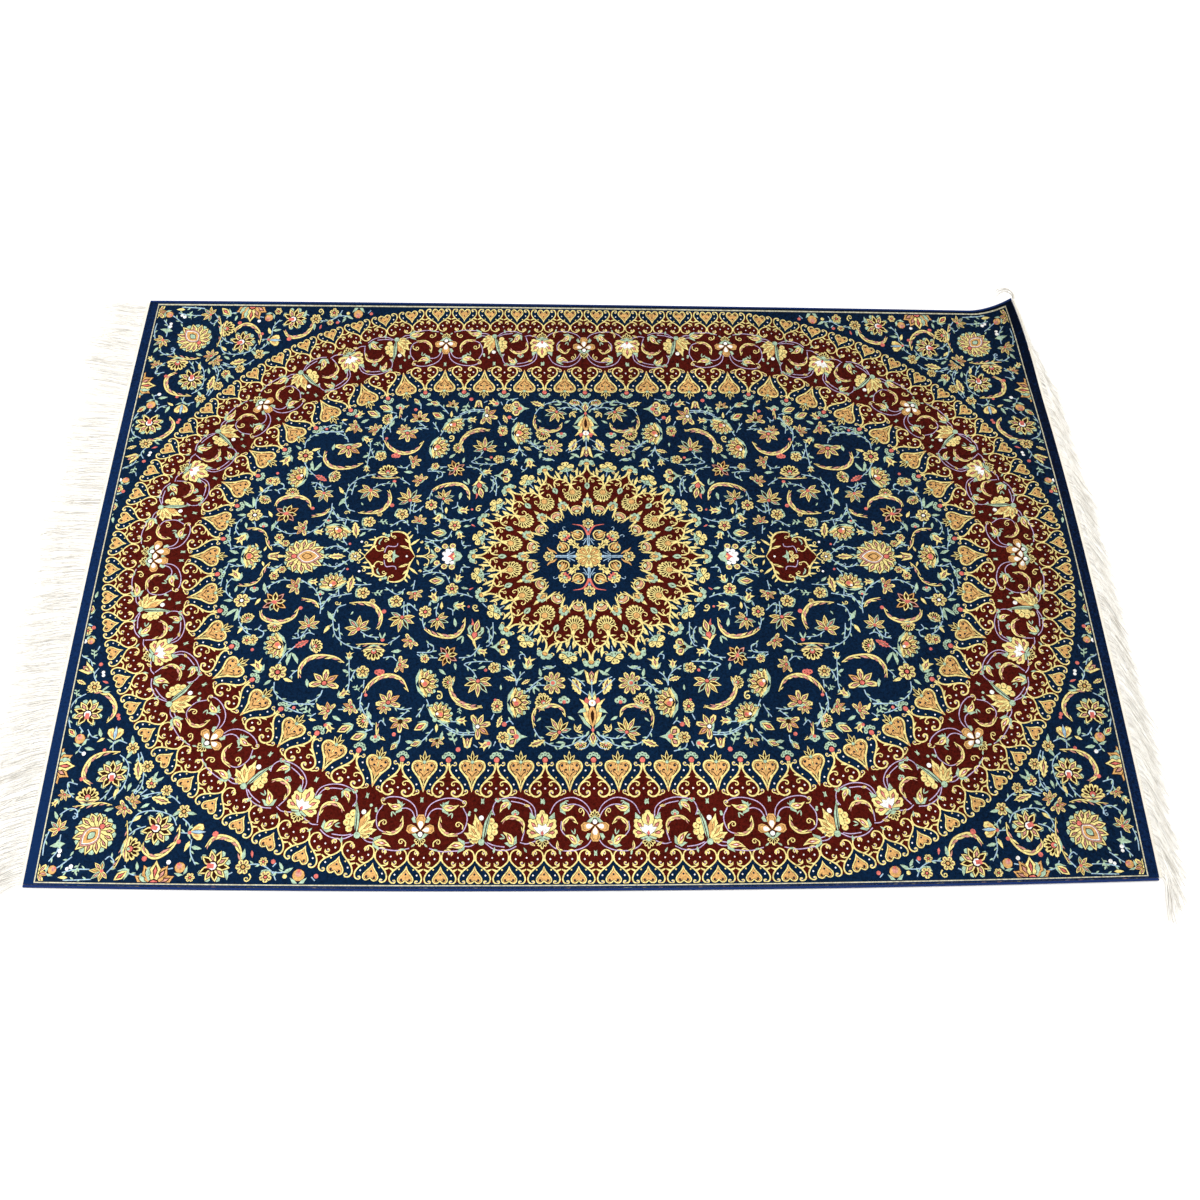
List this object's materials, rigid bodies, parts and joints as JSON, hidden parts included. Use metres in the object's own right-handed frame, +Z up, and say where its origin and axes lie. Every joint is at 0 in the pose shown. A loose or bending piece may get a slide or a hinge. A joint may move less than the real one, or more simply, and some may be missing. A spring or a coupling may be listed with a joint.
{
  "type": "persian rug",
  "caption": "Thin knotted silk rug lying flat, with overcast long sides, a fringe at each end and one back corner curled up.",
  "frame": {"origin": "on the floor, under the middle of the pile sheet", "axes": "+X along the rug's length, from the end whose fringe lies spread out to the end whose fringe is brushed along the edge; +Y across it, towards the long side that ends in the curled corner; +Z up, out of the pile"},
  "size_m": [1.6624, 1.0656, 0.0505],
  "materials": {
    "silk_pile": "clipped silk pile, deep navy ground with a dark red field, gold, apricot, mint, pale blue, coral and ivory design, soft sheen",
    "silk_overcast": "navy silk wound round the side cord, soft sheen",
    "silk_warp": "undyed ivory silk warp ends, soft sheen"
  },
  "bodies": {
    "root": {"pile_sheet": "silk_pile", "side_cord_front": "silk_overcast", "side_cord_back": "silk_overcast", "fringe_left": "silk_warp", "fringe_right": "silk_warp", "fringe_corner": "silk_warp"}
  },
  "joints": []
}
